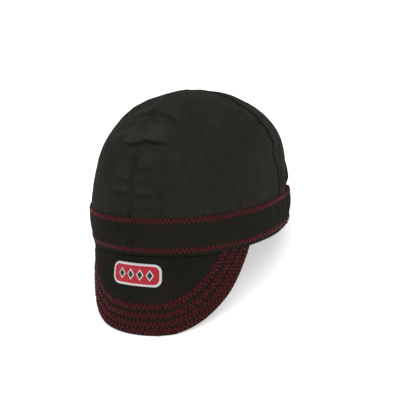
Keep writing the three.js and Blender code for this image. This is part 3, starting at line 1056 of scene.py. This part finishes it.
# Legs of a zigzag row: places along the row, offsets across it and heights over the cloth
def zigzag(length, number, kind):
    width, jitter = zigzagSettings["width"][kind], zigzagSettings["jitter"][kind]
    count = int(length / (zigzagSettings["cycle"] / 2))
    half = length / count
    draw = np.random.default_rng(zigzagSettings["firstSeed"][kind] + number)
    along = np.linspace(0, 1, zigzagSettings["points"])
    holes = np.arange(count + 1) * half + draw.normal(0, jitter, count + 1)
    sides = (np.arange(count + 1) % 2 - 0.5) * width
    sides = sides + draw.normal(0, jitter, count + 1)
    place = mix(holes[:-1, None], holes[1:, None], along)
    offset = mix(sides[:-1, None], sides[1:, None], along)
    arch = zigzagSettings["arch"] * np.sin(math.pi * along) ** zigzagSettings["archPower"]
    lift = zigzagSettings["radius"] * (arch - zigzagSettings["sink"])
    return place, offset, np.broadcast_to(lift, place.shape)


# Both sides of the band's rows: the threads of the inner side lie on the crown's wall
def bandZigzags():
    legs = []
    inside = bandSettings["wall"] + crownSettings["wall"] + headSettings["clearance"]
    for number, row in enumerate(bandSettings["stitchRows"]):
        angles = np.linspace(-math.pi, math.pi, zigzagSettings["lineSteps"] + 1)
        lengths = lengthsAlong(bandPlace(angles, row))
        place, offset, lift = zigzag(lengths[-1], number, "band")
        angle = np.interp(place, lengths, angles)
        height = row + offset
        over = np.maximum(height - (bandSettings["height"] - zigzagSettings["turnOverFrom"]), 0)
        legs.append(bandPlace(angle, height, lift=lift - over * zigzagSettings["turnOver"]))
        legs.append(bandPlace(angle, height, inside, -lift))
    return layThreads("band_zigzags", np.concatenate(legs), zigzagSettings["radius"], redThread)


def brimZigzags():
    legs = []
    for number, row in enumerate(brimSettings["stitchRows"]):
        line = outline + outlineInward * row
        kept = line[:, 1] > brimSettings["stitchesFrom"]
        line, inward = line[kept], outlineInward[kept]
        lengths = lengthsAlong(line)
        place, offset, lift = zigzag(lengths[-1], number, "brim")
        across = [np.interp(place, lengths, values[:, 0]) for values in (line, inward)]
        down = [np.interp(place, lengths, values[:, 1]) for values in (line, inward)]
        spots = across[0] + across[1] * offset, down[0] + down[1] * offset
        legs.append(brimPlace(*spots, lift=lift))
        legs.append(brimPlace(*spots, lift=lift, inside=True))
    return layThreads("brim_zigzags", np.concatenate(legs), zigzagSettings["radius"], redThread)


dress(bandZigzags(), "emblem_thread")
dress(brimZigzags(), "emblem_thread")
print("zigzags done")

emblemSettings = {
    "width": 44,
    "height": 18,
    "corner": 6,
    "drop": 16,
    "wall": 1,
    "seat": 0.15,
    "columns": 60,
    "rows": 14,
    "border": 1.5,
    "threadRadius": 0.24,
    "threadPitch": 0.42,
    "stitchPoints": 5,
    "fillStitch": 4.2,
    "fillLap": 0.5,
    "fillStagger": 1.7,
    "fillArch": 0.18,
    "fillSink": 0.06,
    "shortestStitch": 0.8,
    "lozenges": 4,
    "lozengePitch": 8.6,
    "lozengeHalfWidth": 3.3,
    "lozengeHalfHeight": 4.6,
    "lozengeRim": 1.15,
    "lozengeLift": {"white": 0.3, "black": 0.5},
    "satinArch": 0.12,
    "satinLap": 0.1,
}

# The section of the white border: places inwards from the patch's edge as shares of the border's
# width, and heights over the brim's cloth in millimetres
borderSection = [
    {"inset": -0.16, "lift": 0.1},
    {"inset": -0.2, "lift": 0.8},
    {"inset": 0.06, "lift": 1.3},
    {"inset": 0.45, "lift": 1.5},
    {"inset": 0.8, "lift": 1.35},
    {"inset": 1, "lift": 1.0},
]


# Half the patch's height at a place across it, or that of a smaller outline inside its own
def emblemHalfHeight(across, inset=0.0):
    corner = emblemSettings["corner"] - inset
    past = np.maximum(np.abs(across) - (emblemSettings["width"] / 2 - emblemSettings["corner"]), 0)
    straight = emblemSettings["height"] / 2 - emblemSettings["corner"]
    return straight + np.sqrt(np.maximum(corner ** 2 - past ** 2, 0))


def emblemPlace(across, up, lift):
    return brimPlace(across, emblemSettings["drop"] - up, lift=lift)


# Threads on the patch, along paths of places on its flat
def emblemThreads(name, paths, lifts, material):
    laid = emblemPlace(paths[..., 0], paths[..., 1], np.broadcast_to(lifts, paths.shape[:2]))
    return layThreads(name, laid, emblemSettings["threadRadius"], material)


def emblemPatch():
    half = emblemSettings["width"] / 2
    across = half * np.sin(np.linspace(-math.pi / 2, math.pi / 2, emblemSettings["columns"] + 1))[:, None]
    up = emblemHalfHeight(across) * np.linspace(-1, 1, emblemSettings["rows"] + 1)
    low = emblemPlace(across, up, emblemSettings["seat"])
    high = emblemPlace(across, up, emblemSettings["seat"] + emblemSettings["wall"])
    width = np.broadcast_to(across, (len(across), 2 * up.shape[1]))
    return loft("emblem_patch", thereAndBack(high, low), width, emblemBlack)


# Places round the patch's edge, a thread apart, and the way outwards at each
def emblemEdge():
    corner, pitch = emblemSettings["corner"], emblemSettings["threadPitch"]
    right, high = emblemSettings["width"] / 2 - corner, emblemSettings["height"] / 2 - corner
    centres = np.array([(right, -high), (right, high), (-right, high), (-right, -high)])
    spots, ways = [], []
    for side in range(4):
        start = side * math.pi / 2
        here, ahead = centres[side], centres[(side + 1) % 4]
        run = np.linalg.norm(ahead - here)
        way = np.array([math.cos(start), math.sin(start)])
        for place in np.arange(0, run, pitch):
            spots.append(here + (ahead - here) * place / run + way * corner)
            ways.append(way)
        for turn in np.arange(0, math.pi / 2, pitch / corner):
            way = np.array([math.cos(start + turn), math.sin(start + turn)])
            spots.append(ahead + way * corner)
            ways.append(way)
    return np.array(spots), np.array(ways)


# Wraps of white thread round the patch's edge
def emblemBorder():
    spots, ways = emblemEdge()
    insets = emblemSettings["border"] * np.array([point["inset"] for point in borderSection])
    lifts = np.array([point["lift"] for point in borderSection])
    paths = spots[:, None] - ways[:, None] * insets[:, None]
    return emblemThreads("emblem_border", paths, lifts, whiteThread)


# Rows of stitches that fill the field, broken at staggered places
def emblemField():
    stitch, points = emblemSettings["fillStitch"], emblemSettings["stitchPoints"]
    inset, legs = emblemSettings["border"] - emblemSettings["fillLap"], []
    half = emblemSettings["width"] / 2 - inset
    for number, across in enumerate(np.arange(-half, half, emblemSettings["threadPitch"])):
        reach = float(emblemHalfHeight(across, inset))
        stagger = (number * emblemSettings["fillStagger"]) % stitch
        for low in np.arange(-reach - stagger, reach, stitch):
            ends = max(low, -reach), min(low + stitch, reach)
            if ends[1] - ends[0] > emblemSettings["shortestStitch"]:
                legs.append(np.stack([np.full(points, across), np.linspace(*ends, points)], axis=-1))
    arch = emblemSettings["fillArch"] * np.sin(np.linspace(0, math.pi, points)) - emblemSettings["fillSink"]
    lift = emblemSettings["seat"] + emblemSettings["wall"] + arch
    return emblemThreads("emblem_field", np.array(legs), lift, emblemRed)


# Plain lozenges in satin stitch: a white one, and a smaller black one over it
def emblemLozenges(colour, rim, material):
    legs, points, lap = [], emblemSettings["stitchPoints"], emblemSettings["satinLap"]
    slim = 1 - rim / emblemSettings["lozengeHalfWidth"]
    high = emblemSettings["lozengeHalfHeight"] * slim
    for number in range(emblemSettings["lozenges"]):
        middle = (number - (emblemSettings["lozenges"] - 1) / 2) * emblemSettings["lozengePitch"]
        for up in np.arange(-high + 2 * lap, high - lap, emblemSettings["threadPitch"]):
            reach = emblemSettings["lozengeHalfWidth"] * slim * (1 - abs(up) / high) + lap
            across = middle + np.linspace(-reach, reach, points)
            legs.append(np.stack([across, np.full(points, up)], axis=-1))
    base = emblemSettings["seat"] + emblemSettings["wall"] + emblemSettings["lozengeLift"][colour]
    lift = base + emblemSettings["satinArch"] * np.sin(np.linspace(0, math.pi, points))
    return emblemThreads("emblem_lozenges_" + colour, np.array(legs), lift, material)


patch = dress(emblemPatch(), "emblem_thread", "brim_emblem")
dress(emblemBorder(), "emblem_thread")
dress(emblemField(), "emblem_thread")
dress(emblemLozenges("white", 0.0, whiteThread), "emblem_thread")
dress(emblemLozenges("black", emblemSettings["lozengeRim"], emblemBlack), "emblem_thread")
print("emblem done")

studioSettings = {
    "azimuthDeg": 30.788,
    "elevationDeg": 27.702,
    "rollDeg": 12.098,
    "aim": (10.4, 6.08, 55.9),
    "distance": 0.7,
    "lens": 67.78,
    "sensor": 36,
    "skyStrength": 0.72,
    "floorGlow": 0.5,
    "floorSize": 24,
    "floorTones": (0.9, 0.93),
    "floorPatchScale": 3.0,
    "lit": (0, 0, 0.06),
}

# Large soft lights, in metres and watts
studioLights = [
    {"name": "front_light", "place": (-0.5, -0.7, 1.8), "size": 1.1, "power": 4},
    {"name": "top_light", "place": (0.35, 0.4, 1.9), "size": 2.4, "power": 12.5},
]


def studio():
    bpy.ops.object.select_all(action="DESELECT")
    bpy.ops.mesh.primitive_plane_add(size=studioSettings["floorSize"], location=(0, 0, 0))
    floor = bpy.context.object
    floor.name = "studio_floor"
    shade, connect = newMaterial("palePaper", {
        "Roughness": 0.8,
        "Specular IOR Level": 0.2,
        "Emission Color": (1, 1, 1, 1),
        "Emission Strength": studioSettings["floorGlow"],
    })
    place = shade.node("ShaderNodeTexCoord", outputs=("Object",))
    darker, lighter = ((tone, tone, tone, 1) for tone in studioSettings["floorTones"])
    patches = shade.noise(place, studioSettings["floorPatchScale"])
    floor.data.materials.append(connect(Base_Color=patches.blend(darker, lighter)))
    for light in studioLights:
        data = bpy.data.lights.new(light["name"], "AREA")
        data.size, data.energy = light["size"], light["power"]
        lamp = bpy.data.objects.new(light["name"], data)
        bpy.context.scene.collection.objects.link(lamp)
        lamp.location = light["place"]
        towards = Vector(studioSettings["lit"]) - Vector(light["place"])
        lamp.rotation_euler = towards.to_track_quat("-Z", "Y").to_euler()
    world = bpy.data.worlds.new("studio_sky")
    world.use_nodes = True
    sky = world.node_tree.nodes["Background"]
    sky.inputs["Color"].default_value = (1, 1, 1, 1)
    sky.inputs["Strength"].default_value = studioSettings["skyStrength"]
    bpy.context.scene.world = world
    bpy.context.scene.view_settings.view_transform = "Standard"


def camera():
    azimuth = math.radians(studioSettings["azimuthDeg"])
    elevation = math.radians(studioSettings["elevationDeg"])
    roll = math.radians(studioSettings["rollDeg"])
    level = math.cos(elevation)
    back = Vector((math.sin(azimuth) * level, -math.cos(azimuth) * level, math.sin(elevation)))
    right = Vector((math.cos(azimuth), math.sin(azimuth), 0))
    up = back.cross(right)
    rolledRight = right * math.cos(roll) - up * math.sin(roll)
    rolledUp = right * math.sin(roll) + up * math.cos(roll)
    data = bpy.data.cameras.new("studio_camera")
    data.lens, data.sensor_width = studioSettings["lens"], studioSettings["sensor"]
    data.clip_start, data.clip_end = 0.01, 60
    eye = bpy.data.objects.new("studio_camera", data)
    bpy.context.scene.collection.objects.link(eye)
    turn = Matrix([rolledRight, rolledUp, back]).transposed().to_4x4()
    aim = Vector((np.array(studioSettings["aim"]) + frameShift) * mm)
    eye.matrix_world = Matrix.Translation(aim + back * studioSettings["distance"]) @ turn
    bpy.context.scene.camera = eye


studio()
camera()
print("studio done")

bpy.context.view_layer.update()
